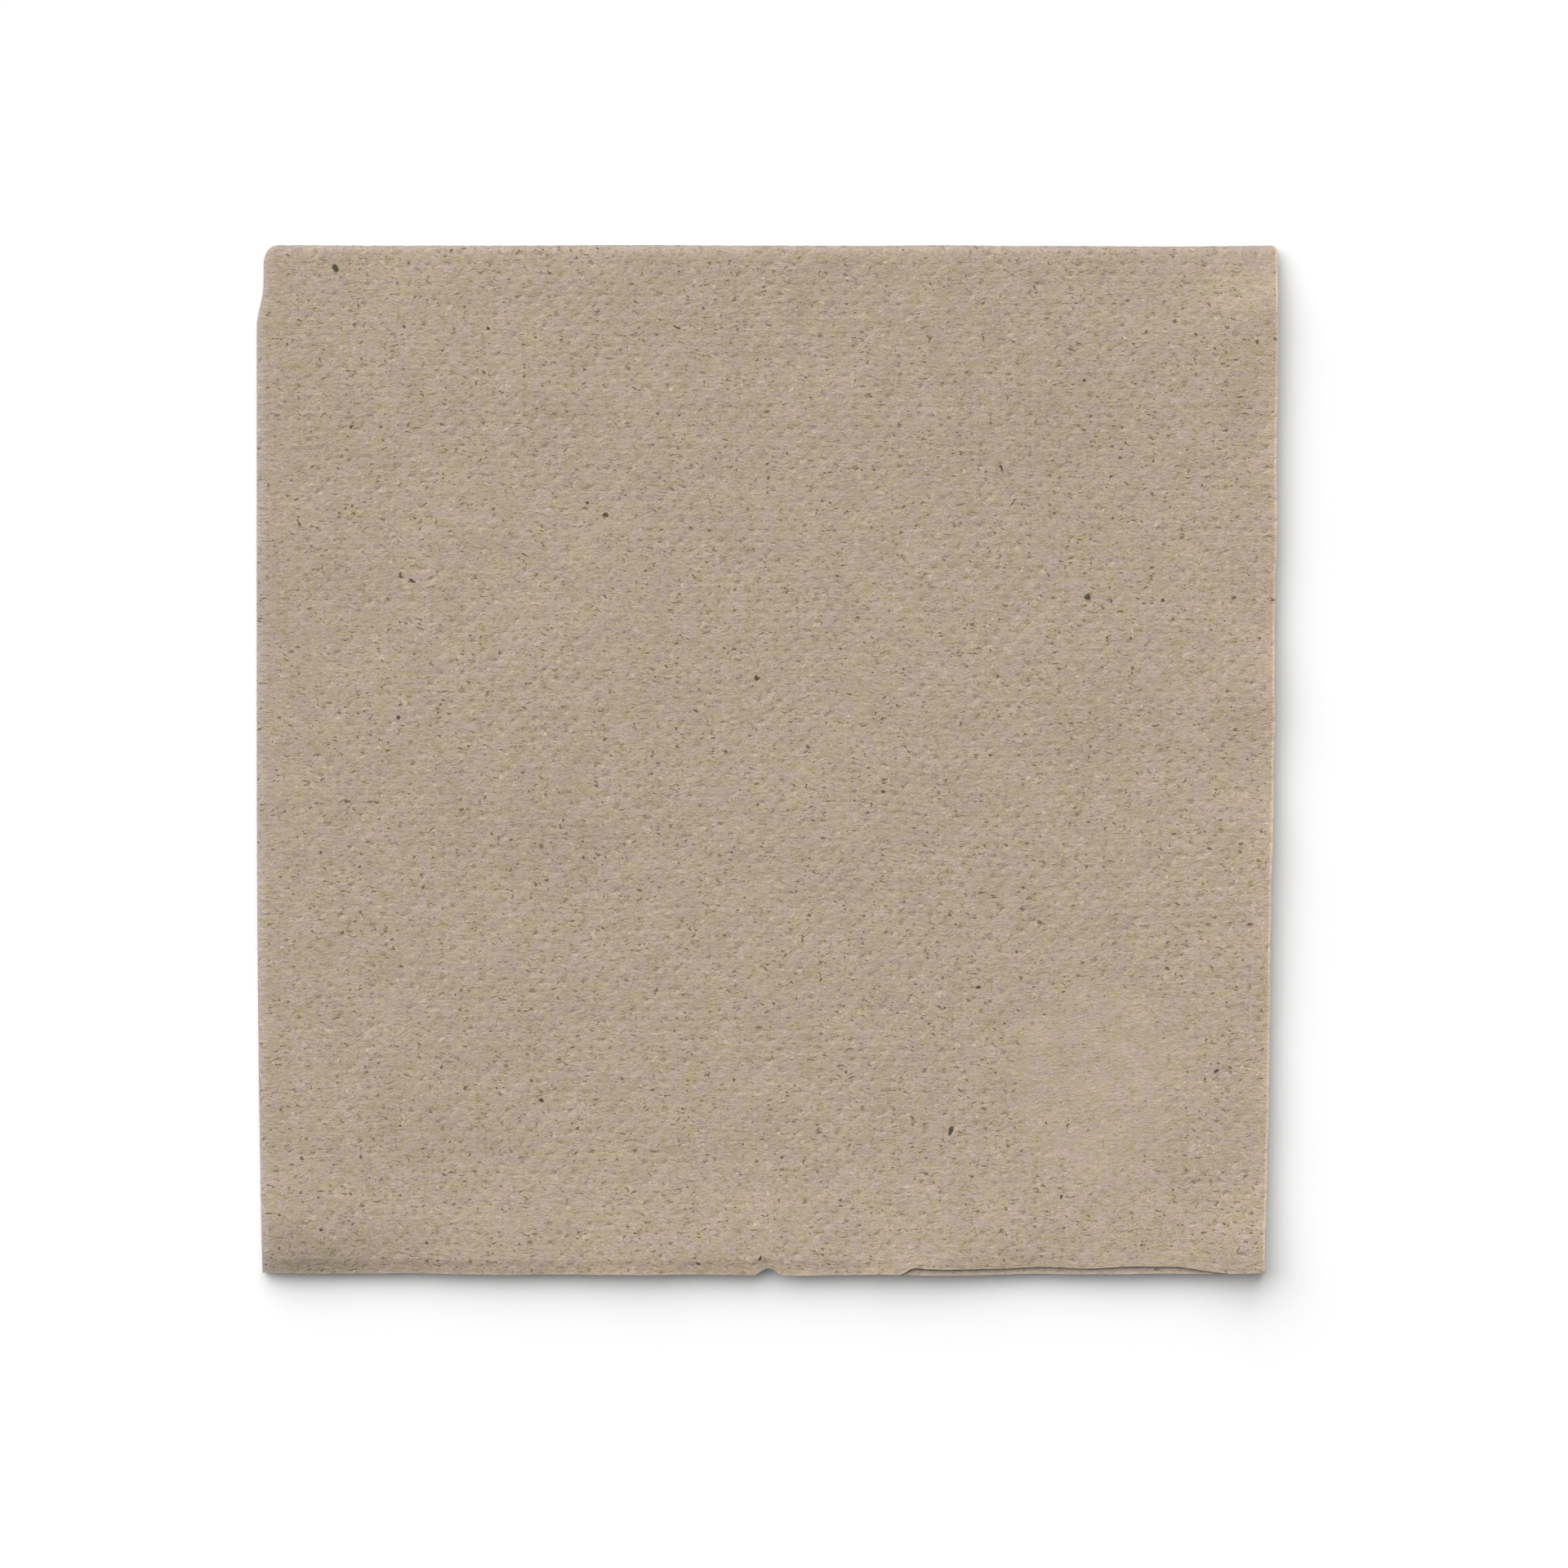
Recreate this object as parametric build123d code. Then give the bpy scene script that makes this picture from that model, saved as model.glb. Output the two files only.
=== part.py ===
from build123d import *
import os
from math import asin, degrees

# A paper napkin folded in quarters: one sheet of thin tissue, folded in half and then in half again, lying
# flat. Millimetres, +Z up. The origin is the middle of the underside. +X runs from the first fold to the cut
# edges opposite it, and +Y from the other cut edges to the second fold.
#
# The first fold joins two leaves into a pair. The second fold bends that pair over on itself, so from the
# underside up there are an outer leaf, an inner leaf, another inner leaf and another outer leaf.

# Driving dimensions.
WIDTH = 120.0  # from the first fold to the cut edges, at the widest
LENGTH = 121.0  # from the second fold to the cut edges, at the longest
PAPER = 0.25  # the embossed tissue
PAIR_GAP = 0.3  # air between the two leaves that the first fold joins
FOLD_GAP = 0.4  # air between the two pairs that the second fold joins
NOSE = 1.9  # how far in from the first fold its two leaves begin to close on each other

# The first fold's line, which leans in at both ends.
FOOT_LEAN = 1.0  # how far it has moved in at the cut edges
FOOT_LEAN_LENGTH = 78.0  # over this much of its length
HEAD_LEAN = 0.8  # how far it has moved in at the second fold
HEAD_LEAN_LENGTH = 5.0  # over this much of its length
HEAD_STRAIGHT = 4.5  # the straight stretch above that, with the second fold's own bend

# The cut edges.
SIDE_TAPER = 1.6  # how far the edge opposite the first fold moves in on its way from the second fold
SIDE_CROWN = 0.2  # how far its middle stands out from a straight line
FOOT_CROWN = 0.25  # how far the middle of the edge opposite the second fold hangs below its ends
INNER_OVERHANG = 0.3  # how far the inner leaves reach out from between the outer ones

# The top leaf's cut edge is stepped back along part of its length.
STEP_DEPTH = 0.85  # back from the lowest point of the foot edge
STEP_FROM_SIDE = 4.5  # from the side's cut edges to the end of the step
STEP_LENGTH = 39.0
STEP_RAMP = 2.2  # how much of each end of the step it takes to run out

# The knife's notch through all four leaves.
NOTCH_MOUTH = 2.7
NOTCH_TOP = 1.2
NOTCH_DEPTH = 0.75
NOTCH_RADIUS = 0.3

SPARE = 1.0  # how far blanks and cutters run past the edges that they are cut to

# What follows from them.
pair_height = 2 * PAPER + PAIR_GAP
bend_radius = pair_height + FOLD_GAP / 2  # the outside of the second fold
left, right = -WIDTH / 2, WIDTH / 2
foot, head = -LENGTH / 2, LENGTH / 2
bend_line = head - bend_radius  # where the leaves end and the second fold begins
foot_lean_line = foot + FOOT_LEAN_LENGTH
head_lean_line = head - HEAD_STRAIGHT
leaf_start = NOSE + FOOT_LEAN + HEAD_LEAN  # from the first fold to where the leaves are plain sheet


def fold_section(x, y, outer_reach, inner_reach):
    """The pair cut across at y: the outer leaf below, the inner leaf above, and the first fold at x.

    The fold's nose is half an ellipse, and the air in it is a smaller one, the paper's thickness inside it.
    """
    middle = pair_height / 2
    outside = EllipticalCenterArc((NOSE, middle), NOSE, middle, start_angle=90, arc_size=180)
    inside = EllipticalCenterArc((NOSE, middle), NOSE - PAPER, PAIR_GAP / 2, start_angle=90, arc_size=180)
    outer_leaf = Polyline(outside @ 1, (outer_reach, 0), (outer_reach, PAPER), inside @ 1)
    inner_leaf = Polyline(
        inside @ 0, (inner_reach, pair_height - PAPER), (inner_reach, pair_height), outside @ 0
    )
    return Plane((x, y, 0), (1, 0, 0), (0, -1, 0)) * make_face([outside, outer_leaf, inside, inner_leaf])


def straight_fold(x, low, high):
    """The first fold from low to high, straight, with a strip of both leaves."""
    reach = leaf_start + SPARE
    return extrude(fold_section(x, low, reach, reach), high - low, dir=(0, 1, 0))


def turned_fold(x, y, centre_x, turn):
    """The first fold carried from x, y round an upright axis at centre_x, y by turn degrees."""
    reach = leaf_start + SPARE
    return revolve(fold_section(x, y, reach, reach), Axis((centre_x, y, 0), (0, 0, 1)), turn)


def first_fold():
    """A long arc in from the foot, a straight stretch, an S of two equal arcs, and a short straight."""
    foot_radius = (FOOT_LEAN_LENGTH**2 + FOOT_LEAN**2) / (2 * FOOT_LEAN)
    foot_turn = degrees(asin((FOOT_LEAN_LENGTH + SPARE) / foot_radius))
    head_radius = (HEAD_LEAN_LENGTH**2 + HEAD_LEAN**2) / (4 * HEAD_LEAN)
    head_turn = degrees(asin(HEAD_LEAN_LENGTH / 2 / head_radius))
    s_line = head_lean_line - HEAD_LEAN_LENGTH
    s_end = left + HEAD_LEAN
    return [
        turned_fold(left, foot_lean_line, left + foot_radius, foot_turn),
        straight_fold(left, foot_lean_line, s_line),
        turned_fold(left, s_line, left + head_radius, -head_turn),
        turned_fold(s_end, head_lean_line, s_end - head_radius, -head_turn),
        straight_fold(s_end, head_lean_line, bend_line),
    ]


def leaf(base, overhang):
    """The plain sheet of one leaf, from just inside the first fold to its cut edge, its foot left long."""
    edge = right - overhang
    middle = (bend_line + foot) / 2
    side = ThreePointArc(
        (edge, bend_line), (edge - SIDE_TAPER / 2 + SIDE_CROWN, middle), (edge - SIDE_TAPER, foot)
    )
    start, low = left + leaf_start, foot - SPARE
    rest = Polyline(side @ 1, (edge - SIDE_TAPER, low), (start, low), (start, bend_line), side @ 0)
    return extrude(Pos(0, 0, base) * make_face([side, rest]), PAPER)


def bend():
    """The second fold: the pair's section turned half a circle about the line midway between the pairs."""
    x = left + HEAD_LEAN
    section = fold_section(x, bend_line, right - INNER_OVERHANG - x, right - x)
    return revolve(section, Axis((0, bend_line, bend_radius), (1, 0, 0)), 180)


def foot_cut():
    """What the knife took off below the foot edge, which is one shallow arc."""
    ends = foot + FOOT_CROWN
    edge = ThreePointArc((left - SPARE, ends), (0, foot), (right + SPARE, ends))
    low = foot - 2 * SPARE
    rest = Polyline(edge @ 0, (left - SPARE, low), (right + SPARE, low), edge @ 1)
    return extrude(make_face([edge, rest]), 2 * bend_radius)


def notch():
    """A small trapezoid with rounded corners, open at the foot edge, through all the leaves."""
    flare = (NOTCH_MOUTH - NOTCH_TOP) / 2 / NOTCH_DEPTH
    half_low = NOTCH_MOUTH / 2 + flare * SPARE
    half_top = NOTCH_TOP / 2
    top, low = foot + NOTCH_DEPTH, foot - SPARE
    outline = Polyline((-half_low, low), (-half_top, top), (half_top, top), (half_low, low), close=True)
    shape = make_face(outline)
    rounded = fillet(shape.vertices().sort_by(Axis.Y)[-2:], NOTCH_RADIUS)
    return extrude(rounded, 2 * bend_radius)


def step():
    """What is missing from the top leaf's foot edge: a long shallow strip that runs out at both ends."""
    side = right - SIDE_TAPER - STEP_FROM_SIDE
    start = side - STEP_LENGTH
    top, low = foot + STEP_DEPTH, foot - SPARE
    near, far = start + STEP_RAMP, side - STEP_RAMP
    outline = Polyline(
        (start, low), (start, foot), (near, top), (far, top), (side, foot), (side, low), close=True
    )
    under_top_leaf = 2 * bend_radius - PAPER - PAIR_GAP / 2
    return extrude(Pos(0, 0, under_top_leaf) * make_face(outline), PAPER + PAIR_GAP)


def napkin():
    """The lower pair, its mirror image above it and the bend that joins them, cut to the foot edge."""
    lower = leaf(0, INNER_OVERHANG) + leaf(PAPER + PAIR_GAP, 0) + first_fold()
    upper = mirror(lower, Plane((0, 0, bend_radius)))
    return lower + bend() + upper - foot_cut() - notch() - step()


os.makedirs("parts", exist_ok=True)
sheet = napkin()
sheet.label = "napkin"
export_step(sheet, "parts/napkin.step")
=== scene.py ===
import bpy
import numpy as np
from math import cos, pi, radians, sin
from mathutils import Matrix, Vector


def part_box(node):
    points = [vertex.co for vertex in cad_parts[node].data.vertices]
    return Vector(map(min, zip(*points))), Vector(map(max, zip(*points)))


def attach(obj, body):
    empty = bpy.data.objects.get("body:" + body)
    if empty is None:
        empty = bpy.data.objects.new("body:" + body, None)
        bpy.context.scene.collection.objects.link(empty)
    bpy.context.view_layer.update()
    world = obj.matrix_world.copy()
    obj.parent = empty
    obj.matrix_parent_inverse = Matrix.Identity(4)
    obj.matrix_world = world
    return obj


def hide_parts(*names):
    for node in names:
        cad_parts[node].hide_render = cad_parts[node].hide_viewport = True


# A paper napkin of brown recycled tissue, folded in quarters. One sheet follows the paper over its whole
# outside and back over its whole inside, round both folds, with the emboss pressed into it.

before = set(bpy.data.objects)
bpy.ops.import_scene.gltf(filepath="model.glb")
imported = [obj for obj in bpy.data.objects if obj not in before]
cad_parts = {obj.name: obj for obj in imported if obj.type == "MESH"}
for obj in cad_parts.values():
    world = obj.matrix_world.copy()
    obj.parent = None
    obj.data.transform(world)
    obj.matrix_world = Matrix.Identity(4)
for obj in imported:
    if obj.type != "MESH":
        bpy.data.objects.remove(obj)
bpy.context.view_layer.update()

MM = 0.001
low, high = (np.array(corner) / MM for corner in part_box("napkin"))
left, foot, underside = low
right, head, top = high

# The stack, in millimetres. The nose is pressed sharper than the construction has it.
PAPER = 0.25
PAIR_GAP = 0.3
NOSE = 1.3
BEND = 1.0  # the outside of the second fold
PAIR_HEIGHT = 2 * PAPER + PAIR_GAP
FOLD_GAP = top - underside - 2 * PAIR_HEIGHT
bend_line = head - BEND
LEAST_GAP = 0.05  # the air that is left wherever two leaves come closest
BULGE = 0.2  # how far the first fold's middle stands out past the plain rectangle
LEAF_WIDTH = 118.2  # half way down, from the nose's end to the cut edge
nose_end = left - BULGE + NOSE

# The emboss: one dot at each corner of a square cell and one in its middle.
CELL = 2.4
DOT_DEPTH = 0.045
DOT_RADIUS = 0.4

# The grid that the paper is sampled on.
COLUMNS_PER_CELL = 4
ROWS_PER_CELL = 6
COLUMNS = 49 * COLUMNS_PER_CELL
ROWS = 50 * ROWS_PER_CELL
NOSE_COLUMNS = 16
BEND_ROWS = 12
SHARP_ANGLE = 60  # edges that turn more than this many degrees are shaded sharp

# The smooth oval where the emboss has been rubbed out: its middle and its radii.
RUBBED = (38.8, -37.4)
RUBBED_RADII = (10.5, 13.5)


# ---------------------------------------------------------------- shapes as formulas

def smooth(value, start, end):
    """0 before start, 1 after end, and 3t^2 - 2t^3 in between."""
    t = np.clip((value - start) / (end - start), 0, 1)
    return t * t * (3 - 2 * t)


def waves(x, y, shortest, longest, seed):
    """A smooth random relief with a spread of 1: a sum of 14 plane waves with lengths between the two."""
    draw = np.random.default_rng(seed)
    count = 14
    angle = draw.uniform(0, 2 * pi, count)
    number = 2 * pi / draw.uniform(shortest, longest, count)
    phase = draw.uniform(0, 2 * pi, count)
    total = np.zeros(np.broadcast(x, y).shape)
    for k in range(count):
        total += np.sin(number[k] * (x * cos(angle[k]) + y * sin(angle[k])) + phase[k])
    return total / (count / 2) ** 0.5


def bell(x, y, middle, radii):
    """exp(-d^2), with d the distance from the middle in units of the two radii."""
    return np.exp(-((x - middle[0]) / radii[0]) ** 2 - ((y - middle[1]) / radii[1]) ** 2)


# ---------------------------------------------------------------- the outline

FOOT_LEAN = 0.7
FOOT_LEAN_LENGTH = 78.0
HEAD_LEAN = 0.8
HEAD_LEAN_LENGTH = 5.0
HEAD_STRAIGHT = 4.5
SIDE_IN = 0.12  # how far inside the plain rectangle the side starts
SIDE_TAPER = 1.6
SIDE_CROWN = 0.2
FOOT_CROWN = 0.25
INNER_OVERHANG = 0.02
STEP_DEPTH = 0.8
STEP_FROM_SIDE = 4.2
STEP_LENGTH = 38.6
STEP_START_RAMP = 1.3
STEP_END_RAMP = 6.0
NOTCH_MOUTH = 2.7
NOTCH_DEPTH = 0.82
ROUND_WIDTH = 1.5  # the rounded corner where the two folds meet
ROUND_HEIGHT = 2.2
HEAD_RISE = 0.06  # how far the second fold stands out above the rounded corner's end


def fold_line(y):
    """x of the first fold: a cubic in towards the foot, and a smooth step in towards the head."""
    foot_part = np.clip((foot + FOOT_LEAN_LENGTH - y) / FOOT_LEAN_LENGTH, 0, 1) ** 3
    s_line = head - HEAD_STRAIGHT - HEAD_LEAN_LENGTH
    head_part = smooth(y, s_line, s_line + HEAD_LEAN_LENGTH)
    return left - BULGE + FOOT_LEAN * foot_part + HEAD_LEAN * head_part


def corner_round(y):
    """How far the rounded corner moves the fold in: a quarter of an ellipse below the head."""
    t = np.clip((y - (head - ROUND_HEIGHT)) / ROUND_HEIGHT, 0, 1)
    return ROUND_WIDTH * (1 - np.sqrt(1 - t * t))


def side_line(y, inner):
    """x of the cut edge opposite the first fold: a taper with a crown, and the leaf's own small wander."""
    t = np.clip((bend_line - y) / (bend_line - foot), 0, 1)
    edge = right - SIDE_IN - SIDE_TAPER * t + 4 * SIDE_CROWN * t * (1 - t)
    tip = 0.5 * (1 - np.sqrt(1 - smooth(y, head - 1.0, head - 0.28) ** 2))
    outer = 1 - inner
    wander = 0.05 * waves(y, 0 * y, 9, 40, 11) + 0.03 * outer * waves(y, 0 * y, 3, 9, 12)
    return edge - tip - INNER_OVERHANG * outer + wander


def foot_line(x, top_leaf):
    """y of the cut edge at the foot: a shallow parabola, the notch's small dome, and the top leaf's step."""
    edge = foot + FOOT_CROWN * (x / right) ** 2
    notch = NOTCH_DEPTH * np.clip(1 - np.abs(x / (NOTCH_MOUTH / 2)) ** 1.8, 0, 1)
    side = right - SIDE_TAPER - STEP_FROM_SIDE
    start = side - STEP_LENGTH
    ramps = np.minimum((x - start) / STEP_START_RAMP, (side - x) / STEP_END_RAMP)
    step = top_leaf * (STEP_DEPTH + 0.06 * waves(x, 0 * x, 5, 16, 21)) * np.clip(ramps, 0, 1)
    wander = 0.04 * waves(x, 0 * x, 6, 30, 22) * smooth(np.abs(x), 1.5, 4)
    return edge + notch + step + wander


# ---------------------------------------------------------------- the folded sheet

def across_grid():
    """Along a row of the sheet: for each column, the share of its leaf's width and the nose's angle.

    The columns run over the inner leaf from its cut edge to the first fold, round the nose, and out over
    the outer leaf. The nose's columns crowd at its tip, where the paper turns hardest.
    """
    turn = np.linspace(-1, 1, NOSE_COLUMNS + 1)
    nose = pi / 2 * np.sign(turn) * np.abs(turn) ** 1.5
    share = np.linspace(0, 1, COLUMNS + 1)
    shares = np.concatenate([share[::-1], np.zeros(NOSE_COLUMNS - 1), share])
    angles = np.concatenate([np.full(COLUMNS, -pi / 2), nose, np.full(COLUMNS, pi / 2)])
    return shares, angles


def down_grid():
    """Along a column: for each row, the share of its leaf's length and the angle round the second fold."""
    share = np.linspace(0, 1, ROWS + 1)
    shares = np.concatenate([share[::-1], np.zeros(BEND_ROWS - 1), share])
    bend = np.linspace(-pi / 2, pi / 2, BEND_ROWS + 1)
    angles = np.concatenate([np.full(ROWS, -pi / 2), bend, np.full(ROWS, pi / 2)])
    return shares, angles


SIDE_OPENING = 1.05  # how much more than nominal the stack stands open along the side
FOOT_OPENING = 0.80  # and along the foot
STEP_CLOSING = 0.7  # the share of the top gap that goes to the gap below it by the step


def gaps(x, y):
    """The air between the leaves, from the underside up: each nominal gap times exp of a slow relief.

    The stack stands open along the free edges, which flutter, and it is pressed together at the foot's
    corner by the first fold. Along part of the foot the top leaf droops.
    """
    by_side = SIDE_OPENING * np.exp(-(((right - x) / 10) ** 2)) * smooth(head - y, 0, 9)
    by_foot = FOOT_OPENING * np.exp(-(((y - foot) / 9) ** 2))
    pressed = (1 + np.hypot(by_side, by_foot)) * (1 - 0.25 * bell(x, y, (left, foot), (20, 6)))
    free = np.exp(-(right - x) / 5) + np.exp(-(y - foot) / 5)
    nominal = (PAIR_GAP, FOLD_GAP, PAIR_GAP)
    air = []
    for k, gap in enumerate(nominal):
        slow = 0.08 * waves(x, y, 30, 70, 31 + k)
        edge = 0.12 * free * waves(x, y, 14, 30, 41 + k)
        air.append(gap * pressed * np.exp(slow + edge))
    in_from_foot = y - foot
    by_step = smooth(x, 9, 15) * np.exp(-((in_from_foot / 5) ** 2))
    taken = STEP_CLOSING * by_step
    air[1], air[2] = air[1] + taken * air[2], air[2] * (1 - taken)
    dip = 0.18 * (1 - smooth(in_from_foot, 0.6, 1.8)) * (1 - smooth(x, 11, 15))
    droop = 0.09 * (1 - smooth(in_from_foot, -0.5, 1.0)) * (1 - smooth(x, -4, 4))
    air[2] = air[2] + 0.03 * waves(x, y, 14, 28, 51) - dip - droop
    return [np.maximum(gap, LEAST_GAP) for gap in air]


def emboss_strength(x, y, outer):
    """How deeply the dots are pressed: uneven, less by the first fold, least in the rubbed oval."""
    uneven = np.clip(1 + 0.12 * waves(x, y, 12, 30, 61), 0.6, 1.4)
    by_fold = 0.3 + 0.7 * smooth(x, left + 1, left + 7)
    rubbed = 1 - 0.85 * np.exp(-((bell_distance(x, y)) ** 4))
    return uneven * by_fold * np.where(outer > 0, rubbed, 1)


def bell_distance(x, y):
    """The distance from the rubbed oval's middle, in units of its radii."""
    dx = (x - RUBBED[0]) / RUBBED_RADII[0]
    dy = (y - RUBBED[1]) / RUBBED_RADII[1]
    return np.sqrt(dx * dx + dy * dy)


def folded_surface(out, shares, noses, lengths, bends):
    """Points of the sheet's outside (out = 1) or inside (out = -1), as an array of rows by columns by 3.

    Across, the nose is half an ellipse. Up and down, the second fold is half a circle about the line midway
    between the two pairs of leaves. A leaf's height is the middle of the stack, plus or minus half the
    distance between the pairs, plus or minus half the distance within its pair.
    """
    share, nose = shares[None, :], noses[None, :]
    length, bend = lengths[:, None], bends[:, None]
    side, level = np.sin(nose), np.sin(bend)
    outer = (side + 1) / 2
    upper = (level + 1) / 2

    inset = 0 if out > 0 else PAPER
    plan_x = left + inset + (NOSE - inset) * (1 - np.cos(nose)) + share * (right - left - NOSE)
    plan_y = bend_line - length * (bend_line - foot) + BEND * 0.7 * np.cos(bend)
    plan_x, plan_y = np.broadcast_arrays(plan_x, plan_y)

    gap_12, gap_23, gap_34 = gaps(plan_x, plan_y)
    lift = 0.1 * bell(plan_x, plan_y, (right, foot), (14, 14))
    leaf_1 = PAPER / 2 + lift
    leaf_2 = leaf_1 + PAPER + gap_12
    leaf_3 = leaf_2 + PAPER + gap_23
    leaf_4 = leaf_3 + PAPER + gap_34
    lower_pair, upper_pair = (leaf_1 + leaf_2) / 2, (leaf_3 + leaf_4) / 2
    middle, between = (upper_pair + lower_pair) / 2, (upper_pair - lower_pair) / 2
    within = (1 - upper) * (leaf_2 - leaf_1) / 2 + upper * (leaf_4 - leaf_3) / 2

    u, v = emboss_coordinates(shares, noses, lengths, bends)
    strength = emboss_strength(plan_x, plan_y, outer * upper)
    dents = DOT_DEPTH * strength * dot_profile(u[None, :], v[:, None]) * outer
    half = within + out * PAPER / 2 - (dents if out > 0 else 0)
    reach = between + side * half

    edge = side_line(plan_y, 1 - outer)
    start = fold_line(plan_y)
    in_from_fold = inset + (NOSE - inset) * (1 - np.cos(nose))
    x = start + in_from_fold + share * (edge - start - NOSE)
    x = x + corner_round(plan_y) * np.exp(-(plan_x - left) / 4)
    x = x - 0.35 * np.sin(pi * share) * waves(plan_x, plan_y, 25, 60, 71)
    gather = 0.55 * np.exp(-((x / 3) ** 2) - (plan_y - foot) / 4)
    x = x * (1 - gather)

    low_edge = foot_line(x, outer * (level > 0))
    y = bend_line - length * (bend_line - foot) + 1.05 * reach * np.cos(bend)
    y = y + (low_edge - foot) * np.exp(-(plan_y - foot) / 2.5) * (length > 0)
    y = y + 0.3 * np.sin(pi * length) * waves(plan_x, plan_y, 25, 60, 72)
    y = y + HEAD_RISE * bell(plan_x, 0, (-46, 0), (22, 1)) * np.exp((plan_y - head) / 6)
    z = middle + level * reach
    return np.stack([x, y, z], axis=-1)


def emboss_coordinates(shares, noses, lengths, bends):
    """Each column's and each row's place in the emboss, in cells, by distance along the paper."""
    columns = np.where(np.sin(noses) > 0, 1, -1) * shares * COLUMNS / COLUMNS_PER_CELL
    nose_arc = 2 * NOSE / CELL
    columns = columns + nose_arc * (noses / pi - 0.5)
    rows = np.where(np.sin(bends) > 0, 1, -1) * lengths * ROWS / ROWS_PER_CELL
    bend_arc = pi * (PAIR_HEIGHT + FOLD_GAP) / 2 / CELL
    rows = rows + bend_arc * (bends / pi - 0.5)
    return columns, rows


def dot_profile(u, v):
    """exp(-(r/radius)^2), with r the distance to the nearest cell corner or cell middle."""
    corner = np.hypot(u - np.round(u), v - np.round(v))
    middle = np.hypot(u - np.floor(u) - 0.5, v - np.floor(v) - 0.5)
    return np.exp(-((np.minimum(corner, middle) * CELL / DOT_RADIUS) ** 2))


# ---------------------------------------------------------------- faces

def walk(cell, first, last, west, east):
    """Row and column offsets round one cell, in the order of its corners, with each edge cut at its step."""
    rows, columns = cell
    down = np.arange(0, rows, west)
    along = np.arange(0, columns, last)
    up = np.arange(rows, 0, -east)
    back = np.arange(columns, 0, -first)
    row = np.concatenate([down, np.full(along.size, rows), up, np.zeros(back.size, int)])
    column = np.concatenate([np.zeros(down.size, int), along, np.full(up.size, columns), back])
    return row, column


def bands(count):
    """The first, the middle and the last of so many cells, and whether each band is at an end."""
    return [
        (np.arange(1), True, False),
        (np.arange(1, count - 1), False, False),
        (np.arange(count - 1, count), False, True),
    ]


def patch(ids, cell, first, last, west, east):
    """Faces over one block of the grid, in cells of so many rows by columns.

    Along the block's own four edges a face takes every vertex at that edge's step. The block meets its
    neighbour vertex for vertex where the step divides both their cells.
    """
    rows, columns = cell
    faces = []
    for row, is_first, is_last in bands((ids.shape[0] - 1) // rows):
        for column, is_west, is_east in bands((ids.shape[1] - 1) // columns):
            row_step, column_step = walk(
                cell,
                first if is_first else columns,
                last if is_last else columns,
                west if is_west else rows,
                east if is_east else rows,
            )
            at_row = (row * rows)[:, None, None] + row_step
            at_column = (column * columns)[None, :, None] + column_step
            faces.append(ids[at_row, at_column].reshape(-1, row_step.size))
    return faces


def blocks(ids, cells):
    """Faces over a whole side of the sheet: three bands of rows by three bands of columns.

    Two blocks meet at the smaller of their steps. On the outside, the lower inner leaf's 10 rows and the
    nose's 3 have no such step that divides both, so that hidden line isn't joined vertex for vertex.
    """
    row_ends = [0, ROWS, ROWS + BEND_ROWS, 2 * ROWS + BEND_ROWS]
    column_ends = [0, COLUMNS, COLUMNS + NOSE_COLUMNS, 2 * COLUMNS + NOSE_COLUMNS]
    faces = []
    for r in range(3):
        for c in range(3):
            rows, columns = cells[r][c]
            block = ids[row_ends[r] : row_ends[r + 1] + 1, column_ends[c] : column_ends[c + 1] + 1]
            first = min(columns, cells[r - 1][c][1]) if r > 0 else 1
            last = min(columns, cells[r + 1][c][1]) if r < 2 else 1
            west = min(rows, cells[r][c - 1][0]) if c > 0 else 1
            east = min(rows, cells[r][c + 1][0]) if c < 2 else 1
            faces += patch(block, cells[r][c], first, last, west, east)
    return faces


def rim(outside, inside):
    """One strip of quads along a cut edge, between the vertices of the sheet's two sides."""
    return np.stack([outside[:-1], outside[1:], inside[1:], inside[:-1]], axis=-1)


# Cells of rows by columns, by block: the lower pair, the second fold and the upper pair; in each, the inner
# leaf, the nose and the outer leaf.
OUTSIDE_CELLS = [
    [(10, 7), (3, 1), (3, 2)],
    [(3, 7), (1, 1), (1, 1)],
    [(10, 7), (1, 1), (1, 1)],
]
INSIDE_CELLS = [
    [(10, 7), (10, 4), (10, 7)],
    [(3, 7), (3, 4), (3, 7)],
    [(10, 7), (10, 4), (10, 7)],
]


def mesh_object(name, points, faces):
    """A mesh of the points that the faces use, with every face smooth and its hardest edges sharp."""
    sizes = np.concatenate([np.full(len(group), group.shape[1]) for group in faces])
    corners = np.concatenate([group.ravel() for group in faces])
    used, corners = np.unique(corners, return_inverse=True)
    mesh = bpy.data.meshes.new(name)
    mesh.vertices.add(len(used))
    mesh.vertices.foreach_set("co", (points[used] * MM).astype(np.float32).ravel())
    mesh.loops.add(len(corners))
    mesh.loops.foreach_set("vertex_index", corners.astype(np.int32))
    mesh.polygons.add(len(sizes))
    starts = np.concatenate([[0], np.cumsum(sizes)[:-1]])
    mesh.polygons.foreach_set("loop_start", starts.astype(np.int32))
    mesh.polygons.foreach_set("use_smooth", np.ones(len(sizes), bool))
    mesh.update(calc_edges=True)
    mesh.set_sharp_from_angle(angle=radians(SHARP_ANGLE))
    made = bpy.data.objects.new(name, mesh)
    bpy.context.scene.collection.objects.link(made)
    return made, used


def add_attribute(mesh, name, values):
    """One vector for each vertex, under that name."""
    attribute = mesh.attributes.new(name, "FLOAT_VECTOR", "POINT")
    attribute.data.foreach_set("vector", values.astype(np.float32).ravel())


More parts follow.
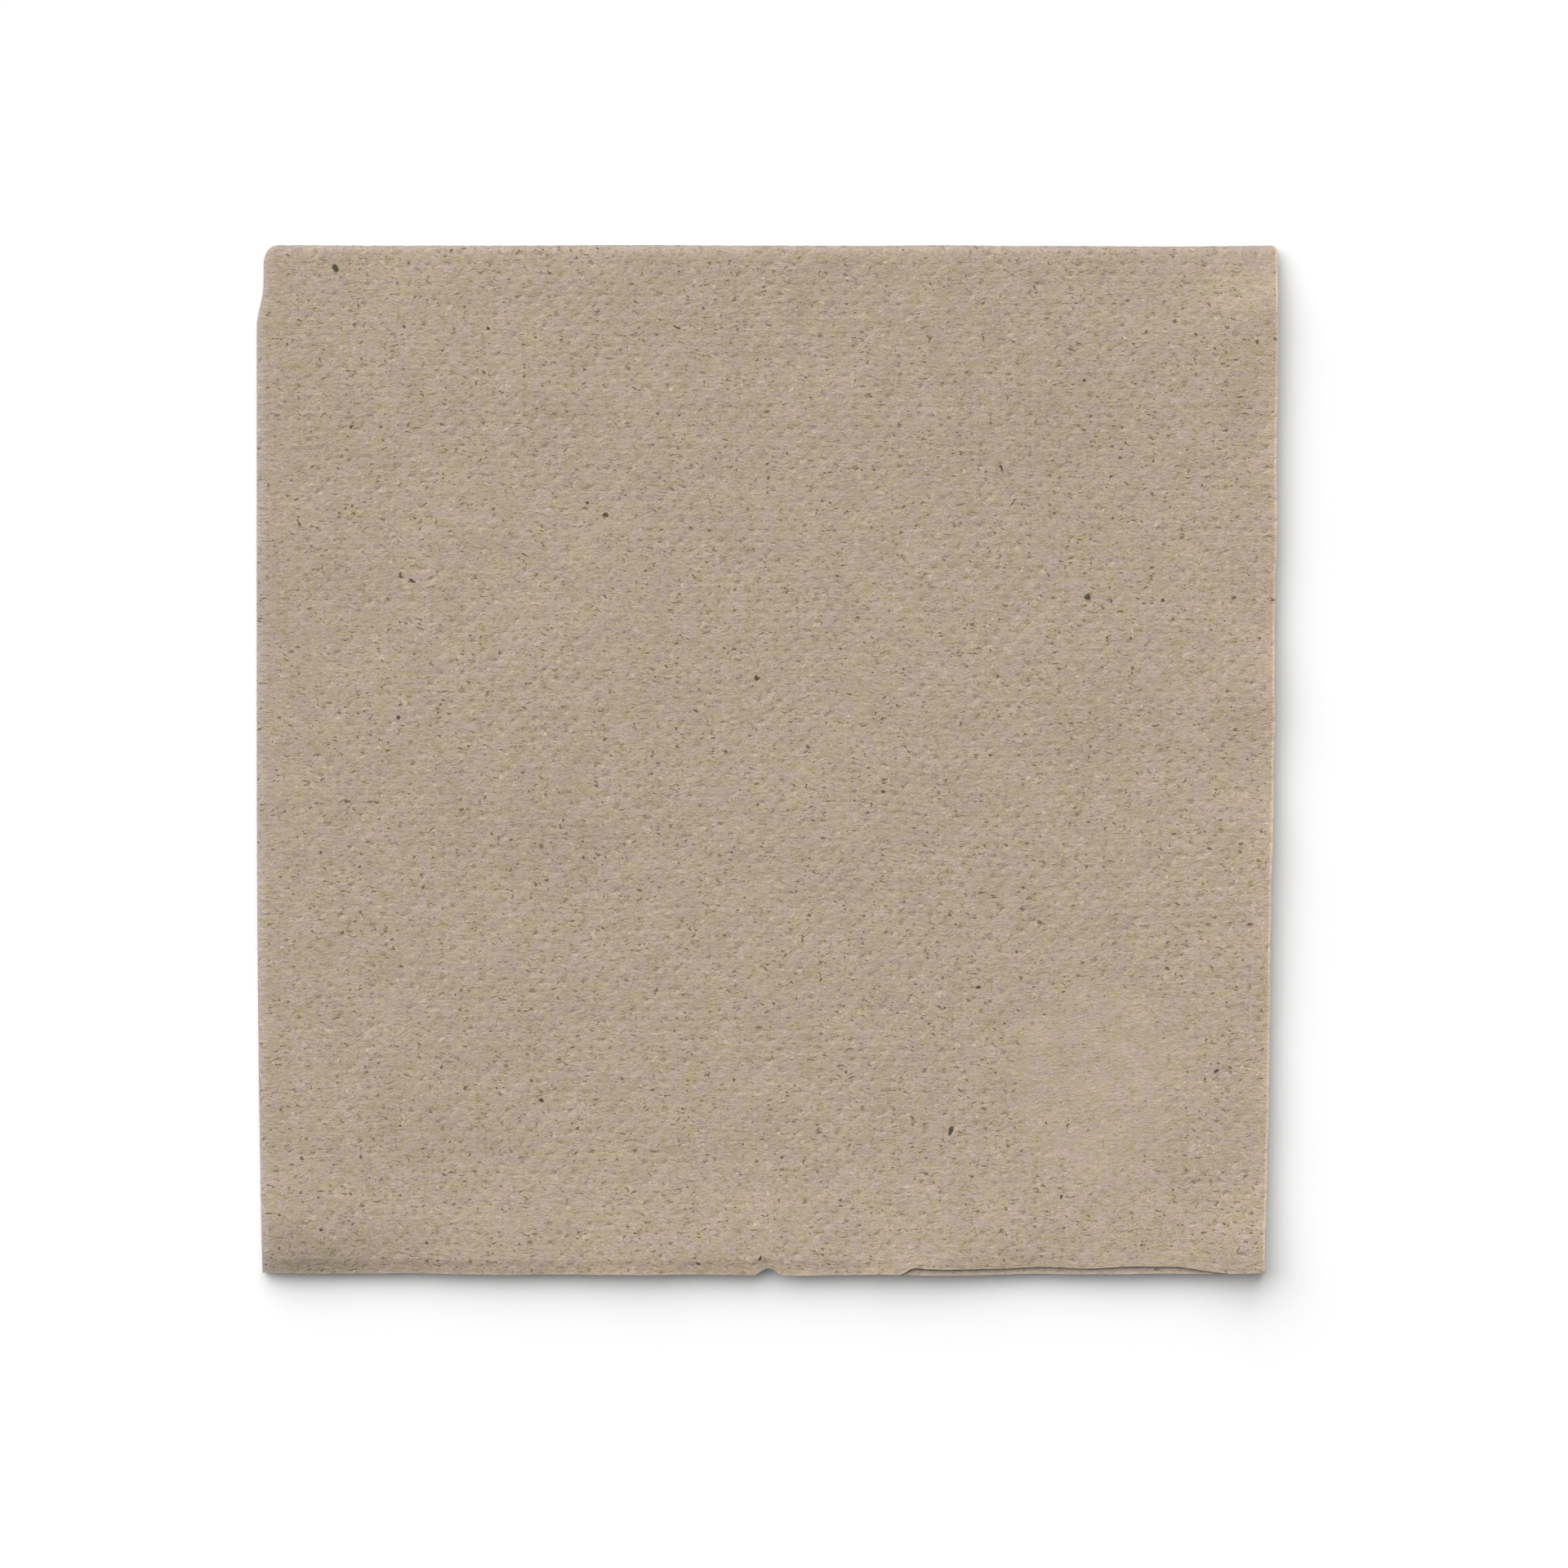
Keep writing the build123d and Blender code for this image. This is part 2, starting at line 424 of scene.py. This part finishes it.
def napkin_sheet():
    """The whole napkin as one sheet, with each vertex's place on the flat paper and in the emboss."""
    shares, noses = across_grid()
    lengths, bends = down_grid()
    grid = (shares, noses, lengths, bends)
    sides = [folded_surface(out, *grid) for out in (1, -1)]
    shape = sides[0].shape[:2]
    count = shape[0] * shape[1]
    outside = np.arange(count).reshape(shape)
    inside = outside + count

    faces = blocks(outside, OUTSIDE_CELLS)
    faces += [group[:, ::-1] for group in blocks(inside, INSIDE_CELLS)]
    faces.append(rim(outside[:, -1], inside[:, -1]))
    faces.append(rim(outside[::-1, 0], inside[::-1, 0]))
    faces.append(rim(outside[0], inside[0]))
    faces.append(rim(outside[-1, ::-1], inside[-1, ::-1]))

    points = np.concatenate([side.reshape(-1, 3) for side in sides])
    made, used = mesh_object("napkin_sheet", points, faces)

    u, v = emboss_coordinates(*grid)
    u, v = np.broadcast_arrays(u[None, :], v[:, None])
    stretch = LEAF_WIDTH / (COLUMNS / COLUMNS_PER_CELL * CELL)
    on_paper = np.stack([nose_end + u * CELL * stretch, bend_line - v * CELL, 0 * u], axis=-1)
    plan = sides[0]
    outer = np.broadcast_to(((np.sin(noses) + 1) / 2)[None, :], shape)
    upper = np.broadcast_to(((np.sin(bends) + 1) / 2)[:, None], shape)
    strength = emboss_strength(plan[..., 0], plan[..., 1], outer * upper)
    emboss = np.stack([u, v, strength], axis=-1)
    add_attribute(made.data, "paper", np.concatenate([on_paper.reshape(-1, 3)] * 2)[used])
    emboss_in = np.stack([u, v, -strength], axis=-1)
    both = np.concatenate([emboss.reshape(-1, 3), emboss_in.reshape(-1, 3)])
    add_attribute(made.data, "emboss", both[used])
    return made


# ---------------------------------------------------------------- materials

class Field:
    """A socket with numbers on it. Python's operators add the Math nodes."""

    def __init__(self, graph, socket):
        self.graph = graph
        self.socket = socket

    def math(self, operation, *others):
        return self.graph.node("ShaderNodeMath", {"operation": operation}, dict(enumerate((self, *others))))

    def __add__(self, other):
        return self.math("ADD", other)

    def __sub__(self, other):
        return self.math("SUBTRACT", other)

    def __rsub__(self, other):
        return self.graph.node("ShaderNodeMath", {"operation": "SUBTRACT"}, {0: other, 1: self})

    def __mul__(self, other):
        return self.math("MULTIPLY", other)

    def __truediv__(self, other):
        return self.math("DIVIDE", other)

    __radd__ = __add__
    __rmul__ = __mul__

    def least(self, other):
        return self.math("MINIMUM", other)

    def most(self, other):
        return self.math("MAXIMUM", other)

    def exp(self):
        return self.math("EXPONENT")

    def fraction(self):
        return self.math("FRACT")

    def step(self, start, end, low=0.0, high=1.0):
        """low before start, high after end, and smooth in between."""
        values = {"Value": self, "From Min": start, "From Max": end, "To Min": low, "To Max": high}
        return self.graph.node("ShaderNodeMapRange", {"interpolation_type": "SMOOTHSTEP"}, values)


class Graph:
    """A material, and one way to add each of its nodes."""

    def __init__(self, name):
        self.material = bpy.data.materials.new(name)
        self.material.use_nodes = True
        self.tree = self.material.node_tree
        self.tree.nodes.clear()

    def node(self, kind, settings, inputs, output=0):
        """A node of that kind, its settings first, then its sockets' values or links. Gives one output."""
        made = self.tree.nodes.new(kind)
        for name, value in settings.items():
            setattr(made, name, value)
        for name, value in inputs.items():
            if isinstance(value, Field):
                self.tree.links.new(value.socket, made.inputs[name])
            else:
                made.inputs[name].default_value = value
        return Field(self, made.outputs[output])

    def attribute(self, name):
        return self.node("ShaderNodeAttribute", {"attribute_name": name}, {}, "Vector")

    def parts(self, vector):
        split = self.node("ShaderNodeSeparateXYZ", {}, {"Vector": vector})
        return [Field(self, socket) for socket in split.socket.node.outputs]

    def vector(self, operation, *values):
        return self.node("ShaderNodeVectorMath", {"operation": operation}, dict(enumerate(values)))

    def noise(self, vector, scale, detail=1.0, output="Fac"):
        """Noise over two dimensions, with its size along x and y set by the scale's two numbers."""
        stretched = self.vector("MULTIPLY", vector, (*scale, 1.0))
        values = {"Vector": stretched, "Scale": 1.0, "Detail": detail}
        return self.node("ShaderNodeTexNoise", {"noise_dimensions": "2D"}, values, output)

    def mix(self, factor, a, b):
        """Two colours mixed."""
        settings = {"data_type": "RGBA", "blend_type": "MIX"}
        return self.node("ShaderNodeMix", settings, {0: factor, 6: a, 7: b}, 2)

    def surface(self, shader):
        output = self.tree.nodes.new("ShaderNodeOutputMaterial")
        self.tree.links.new(shader.socket, output.inputs["Surface"])
        return self.material


TISSUE = (0.469, 0.373, 0.282, 1)
LILAC = (0.479, 0.373, 0.317, 1)
OLIVE = (0.437, 0.361, 0.222, 1)
FOLD_RIM = (0.465, 0.388, 0.345, 1)
# The two fibre colours also serve as the dots' painted shade and painted highlight.
DARK_FIBRE_AND_DENT_SHADE = (0.160, 0.106, 0.052, 1)
PALE_FIBRE_AND_DENT_HIGHLIGHT = (0.700, 0.575, 0.440, 1)
# The colour of the cut edges' painted highlight.
CUT_EDGE_HIGHLIGHT = (0.620, 0.515, 0.395, 1)
SPECK = (0.050, 0.038, 0.027, 1)

# Specks that stand out on the top leaf: x, y, half length, half width and the turn in degrees.
SPECKS = [
    (-51.8, 57.8, 0.5, 0.3, -60), (-33.3, 50.7, 0.25, 0.2, 0), (-19.4, 28.9, 0.3, 0.25, 20),
    (-41.8, 21.0, 0.4, 0.12, -25), (-49.2, 39.4, 0.2, 0.18, 0), (-21.5, 30.3, 0.2, 0.15, 0),
    (-10.5, 50.9, 0.35, 0.14, -20), (37.3, 19.2, 0.35, 0.3, 30), (46.1, 18.9, 0.2, 0.15, 0),
    (26.8, 34.0, 0.22, 0.2, 0), (28.2, 29.9, 0.5, 0.09, 50), (-1.2, 9.6, 0.35, 0.28, 10),
    (-43.4, 5.2, 0.22, 0.2, 0), (13.2, -3.8, 0.25, 0.15, -30), (25.2, -26.4, 0.3, 0.2, 20),
    (21.4, -43.4, 0.5, 0.28, 80), (53.1, -36.6, 0.25, 0.2, 0), (-26.0, -39.9, 0.3, 0.25, 0),
    (-38.2, -36.3, 0.22, 0.15, 60), (-1.2, -58.7, 0.3, 0.2, 70), (-8.5, -59.2, 0.3, 0.15, 0),
    (-53.1, -55.2, 0.22, 0.18, 0), (34.8, -51.3, 0.2, 0.17, 0), (36.8, 44.6, 0.22, 0.15, 0),
]

# Broad soft tones on the top leaf: x, y, the two radii, and how much lighter or darker. The one at (-57, -60)
# is painted shade on the bottom-left corner, which slopes away from the lamp, and the one at (60.0, 0) a
# painted highlight along the right edge.
TONES_AND_PAINTED_LIGHT = [
    (-26, -9, 12, 6, -0.05), (-41, -45, 9, 6, -0.05), (29, 39, 20, 10, -0.03),
    (-44, 57, 8, 4, 0.05), (-24, 21, 10, 8, 0.02), (-57, -60, 14, 5, -0.25), (54, -58, 3, 1.6, -0.06),
    (0, 60, 70, 2.5, 0.03), (60.0, 0, 2.6, 70, 0.13), (-45, -22, 8, 5, -0.03),
]


def oval(graph, x, y, middle, radii, turn=0.0):
    """The square of the distance from the middle, in units of the two radii, turned by so many degrees."""
    c, s = cos(radians(turn)), sin(radians(turn))
    dx, dy = x - middle[0], y - middle[1]
    along = (dx * c + dy * s) / radii[0]
    over = (dy * c - dx * s) / radii[1]
    return along * along + over * over


def dot_shapes(g, u, v):
    """What one pressed dot looks like, summed over the cells' corners and middles.

    The pit itself, the painted shade on its upper wall (a teardrop) and the painted highlight on its lower
    wall (a crescent), each as exp(-d^2) of an oval that is placed by its distance from the dot, in
    millimetres.
    """
    pit, painted_dent_shade, painted_dent_highlight = None, None, None
    for shift in (0.5, 0.0):
        du = ((u + shift).fraction() - 0.5) * CELL
        dv = ((v + shift).fraction() - 0.5) * CELL
        hole = (oval(g, du, dv, (0, 0), (0.38, 0.36)) * -1.0).exp()
        drop = (oval(g, du, dv, (0, -0.12), (0.30, 0.20)) * -1.0).exp()
        tail = (oval(g, du, dv, (0.04, 0.14), (0.13, 0.15)) * -1.0).exp()
        crescent = (oval(g, du, dv, (0.02, 0.22), (0.46, 0.24)) * -1.0).exp()
        pit = hole if pit is None else pit + hole
        painted_dent_shade = drop + tail * 0.6 if painted_dent_shade is None else painted_dent_shade + drop + tail * 0.6
        painted_dent_highlight = crescent if painted_dent_highlight is None else painted_dent_highlight + crescent
    return pit, painted_dent_shade, (painted_dent_highlight - painted_dent_shade).most(0.0)


def curls(g, vector, scale, thin, low, high):
    """Short curled lines: where one noise crosses its middle value, kept only where another is high."""
    line = (g.noise(vector, scale, 1.0) - 0.5).math("ABSOLUTE")
    kept = g.noise(g.vector("ADD", vector, (61.0, 29.0, 0.0)), (0.9, 1.3), 1.0).step(low, high)
    return (1 - line.step(thin * 0.4, thin)) * kept


def cut_edge_highlight(x, y):
    """1 on the last fraction of a millimetre of paper before a cut edge: the mask of the edges' painted
    highlight.
    """
    side = (x - nose_end).math("ABSOLUTE").step(LEAF_WIDTH - 0.4, LEAF_WIDTH - 0.15)
    half_length = ROWS / ROWS_PER_CELL * CELL
    down = (y - bend_line).math("ABSOLUTE").step(half_length - 0.4, half_length - 0.1)
    return side, down


def tissue():
    """Brown recycled tissue: blotchy paper, short fibres lying across it, specks, crepe and pressed dots,
    with painted shade and painted highlights on the dots, the second fold, the bottom-left corner and the cut
    edges.
    """
    g = Graph("brown_tissue")
    paper = g.attribute("paper")
    x, y, _ = g.parts(paper)
    u, v, signed = g.parts(g.attribute("emboss"))
    strength = signed.math("ABSOLUTE")

    in_oval = 1 - oval(g, x, y, RUBBED, RUBBED_RADII).step(0.45, 1.2)

    # Fibres don't lie quite straight, and dots aren't quite round.
    wobble = g.noise(paper, (0.7, 0.7), 2.0, "Color")
    bent = g.vector("ADD", paper, g.vector("MULTIPLY", wobble, (0.7, 0.8, 0.0)))
    jitter = g.noise(paper, (2.4, 2.4), 2.0, "Color")
    jx, jy, _ = g.parts(jitter)
    pit, painted_dent_shade, painted_dent_highlight = dot_shapes(g, u + (jx - 0.5) * 0.2, v + (jy - 0.5) * 0.2)
    uneven = g.noise(paper, (0.8, 0.8), 1.0).step(0.34, 0.66, 0.1, 1.7) * strength

    def moved(dx, dy):
        return g.vector("ADD", bent, (dx, dy, 0.0))

    crepe = g.noise(bent, (0.55, 2.4), 2.0)
    fuzz = g.noise(bent, (4.0, 6.0), 2.0)
    grain = g.noise(paper, (6.0, 8.0), 2.0)
    clusters = g.noise(moved(901, 41), (0.45, 0.6), 1.0).step(0.42, 0.60, 0.15, 1.0)
    marks = g.noise(moved(801, 61), (1.4, 3.3), 2.0).step(0.635, 0.685) * clusters
    fine_dark = g.noise(moved(601, 151), (2.1, 4.6), 2.0).step(0.595, 0.675)
    fine_pale = g.noise(moved(701, 31), (2.1, 4.6), 2.0).step(0.59, 0.68)
    short_dark = g.noise(moved(17, 5), (1.6, 4.6), 2.0).step(0.62, 0.67)
    long_dark = g.noise(moved(211, 83), (0.6, 4.8), 2.0).step(0.62, 0.72)
    short_pale = g.noise(moved(311, 97), (1.8, 4.6), 2.0).step(0.61, 0.71)
    dark_curls = curls(g, moved(401, 11), (1.1, 1.8), 0.035, 0.55, 0.62)
    pale_curls = curls(g, moved(501, 71), (1.2, 1.7), 0.04, 0.53, 0.62)
    dark_mask = short_dark.most(long_dark * 0.8).most(dark_curls * 0.9).most(fine_dark * 0.55)
    pale_mask = short_pale.most(pale_curls).most(fine_pale * 0.7)

    height = pit * uneven * -0.04 + crepe * 0.07 + fuzz * 0.04 + pale_mask * 0.02 - dark_mask * 0.015
    normal = g.node("ShaderNodeBump", {}, {"Height": height, "Strength": 1.0, "Distance": MM})

    # Colour, from the broad blotches to the smallest specks.
    lilac_mask = g.noise(g.vector("ADD", paper, (57.0, 13.0, 0.0)), (0.33, 0.4), 3.0).step(0.48, 0.60)
    olive_mask = g.noise(g.vector("ADD", paper, (171.0, 43.0, 0.0)), (0.6, 0.8), 3.0).step(0.56, 0.68)
    colour = g.mix(lilac_mask * 0.85, TISSUE, LILAC)
    colour = g.mix(olive_mask * 0.75, colour, OLIVE)
    by_first_fold = 1 - (x - left).step(0.3, 1.2)
    by_second_fold = (y - bend_line).step(-0.2, 0.8)
    colour = g.mix(by_first_fold.most(by_second_fold) * 0.75, colour, FOLD_RIM)
    # Painted shade on each dot's upper wall and a painted highlight on its lower wall, as the lamp beyond the
    # head lights the dents.
    colour = g.mix((painted_dent_shade * uneven).least(1.6) * 0.19, colour, DARK_FIBRE_AND_DENT_SHADE)
    colour = g.mix((painted_dent_highlight * uneven).least(1.6) * 0.12, colour, PALE_FIBRE_AND_DENT_HIGHLIGHT)
    colour = g.mix(dark_mask * (in_oval * -0.10 + 0.30), colour, DARK_FIBRE_AND_DENT_SHADE)
    colour = g.mix(pale_mask * (in_oval * -0.05 + 0.32), colour, PALE_FIBRE_AND_DENT_HIGHLIGHT)
    colour = g.mix(pale_curls * 0.25, colour, PALE_FIBRE_AND_DENT_HIGHLIGHT)
    colour = g.mix(marks * (in_oval * -0.4 + 0.85), colour, DARK_FIBRE_AND_DENT_SHADE)
    # Painted highlight: a lighter strip along the side's cut edge, and a fainter one along the foot's.
    side, down = cut_edge_highlight(x, y)
    colour = g.mix(side.most(down * 0.5) * 0.8, colour, CUT_EDGE_HIGHLIGHT)

    # Small specks: one cell in a few has one, each with its own size.
    cells = {"Vector": g.vector("MULTIPLY", moved(0, 0), (0.42, 0.5, 1.0)), "Scale": 1.0}
    settings = {"voronoi_dimensions": "2D", "feature": "F1"}
    distance = g.node("ShaderNodeTexVoronoi", settings, cells, "Distance")
    chance, size, _ = g.parts(Field(g, distance.socket.node.outputs["Color"]))
    radius = chance.step(0.82, 1.0, 0.0, 0.09) * (size * 0.7 + 0.4)
    small = 1 - (distance / (radius + 0.001)).step(0.6, 1.4)
    colour = g.mix(small * 0.7, colour, SPECK)

    # The specks that stand out.
    nearest = None
    for speck_x, speck_y, length, width, turn in SPECKS:
        found = oval(g, x + (jx - 0.5) * 0.5, y + (jy - 0.5) * 0.5, (speck_x, speck_y), (length, width), turn)
        nearest = found if nearest is None else nearest.least(found)
    colour = g.mix((1 - nearest.step(0.5, 1.8)) * 0.88, colour, SPECK)

    # Broad tones (among them painted shade and a painted highlight), the rubbed oval, painted shade over the
    # second fold, and the paper's own mottle and grain.
    tone = g.noise(g.vector("ADD", paper, (7.0, 307.0, 0.0)), (0.22, 0.3), 3.0) * 0.22 + (grain * 0.26 - 0.24)
    for tone_x, tone_y, wide, high_radius, gain in TONES_AND_PAINTED_LIGHT:
        tone = tone + (oval(g, x, y, (tone_x, tone_y), (wide, high_radius)) * -1.0).exp() * gain
    # Painted shade: the colour over the second fold's bend, which faces the lamp, is darkened.
    tone = tone + in_oval * 0.05 - by_second_fold * 0.20
    level = tone + 1.0
    shade = g.node("ShaderNodeCombineXYZ", {}, {0: level, 1: level, 2: level})
    colour = g.vector("MULTIPLY", colour, shade)

    roughness = fuzz * 0.12 + 0.84
    shader = g.node(
        "ShaderNodeBsdfPrincipled",
        {},
        {"Base Color": colour, "Roughness": roughness, "Normal": normal, "Specular IOR Level": 0.2},
        "BSDF",
    )
    return g.surface(shader)


def white_floor():
    """A white floor: it takes the napkin's shadow, and shows a little lighter than it lights the napkin."""
    g = Graph("white_floor")
    seen = g.node("ShaderNodeLightPath", {}, {}, "Is Camera Ray")
    sources = seen.socket.node.outputs
    seen = seen.most(Field(g, sources["Is Glossy Ray"])).most(Field(g, sources["Is Transmission Ray"]))
    matt = g.node("ShaderNodeBsdfDiffuse", {}, {"Color": (FLOOR_WHITE, FLOOR_WHITE, FLOOR_WHITE, 1)})
    glow = g.node("ShaderNodeEmission", {}, {"Strength": seen * FLOOR_GLOW})
    return g.surface(g.node("ShaderNodeAddShader", {}, {0: matt, 1: glow}))


# ---------------------------------------------------------------- the studio

VIEW_MIDDLE = (1.8, -2.8)  # where the camera looks straight down
VIEW_WIDTH = 184.3  # what it sees at the height of the top leaf
LENS = 200.0
LAMP_WIDTH = 80  # the lamp's angle as seen from the napkin, in degrees
LAMP_ENERGY = 4.04
LAMP_TILT = -43  # degrees about x, then
LAMP_TURN = 29  # degrees about z
SKY = 0.07  # how strongly the sky lights the napkin
FLOOR_WHITE = 0.935
FLOOR_GLOW = 0.07
FLOOR_HALF = 3.0  # metres


def camera():
    """Straight above, looking down, with +Y up in the picture."""
    data = bpy.data.cameras.new("camera")
    data.lens = LENS
    distance = VIEW_WIDTH * LENS / data.sensor_width
    made = bpy.data.objects.new("camera", data)
    made.location = (VIEW_MIDDLE[0] * MM, VIEW_MIDDLE[1] * MM, (top + distance) * MM)
    bpy.context.scene.collection.objects.link(made)
    bpy.context.scene.camera = made


def lights():
    """One very wide soft lamp from beyond the head and a little to the left, and a weak even sky."""
    lamp = bpy.data.lights.new("soft_lamp", "SUN")
    lamp.angle = radians(LAMP_WIDTH)
    lamp.energy = LAMP_ENERGY
    made = bpy.data.objects.new("soft_lamp", lamp)
    made.rotation_euler = (radians(LAMP_TILT), 0, radians(LAMP_TURN))
    bpy.context.scene.collection.objects.link(made)

    world = bpy.data.worlds.new("sky")
    world.use_nodes = True
    bpy.context.scene.world = world
    nodes, links = world.node_tree.nodes, world.node_tree.links
    path = nodes.new("ShaderNodeLightPath")
    strength = nodes.new("ShaderNodeMapRange")
    strength.inputs["To Min"].default_value = SKY
    strength.inputs["To Max"].default_value = 1.0
    links.new(path.outputs["Is Camera Ray"], strength.inputs["Value"])
    links.new(strength.outputs["Result"], nodes["Background"].inputs["Strength"])
    nodes["Background"].inputs["Color"].default_value = (1, 1, 1, 1)


def floor():
    """A large flat square just under the napkin."""
    half = FLOOR_HALF
    mesh = bpy.data.meshes.new("floor")
    level = underside * MM
    corners = [(-half, -half, level), (half, -half, level), (half, half, level), (-half, half, level)]
    mesh.from_pydata(corners, [], [(0, 1, 2, 3)])
    made = bpy.data.objects.new("floor", mesh)
    mesh.materials.append(white_floor())
    bpy.context.scene.collection.objects.link(made)


bpy.context.scene.view_settings.view_transform = "Standard"
camera()
lights()
floor()

napkin = napkin_sheet()
napkin.data.materials.append(tissue())
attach(napkin, "root")
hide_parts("napkin")
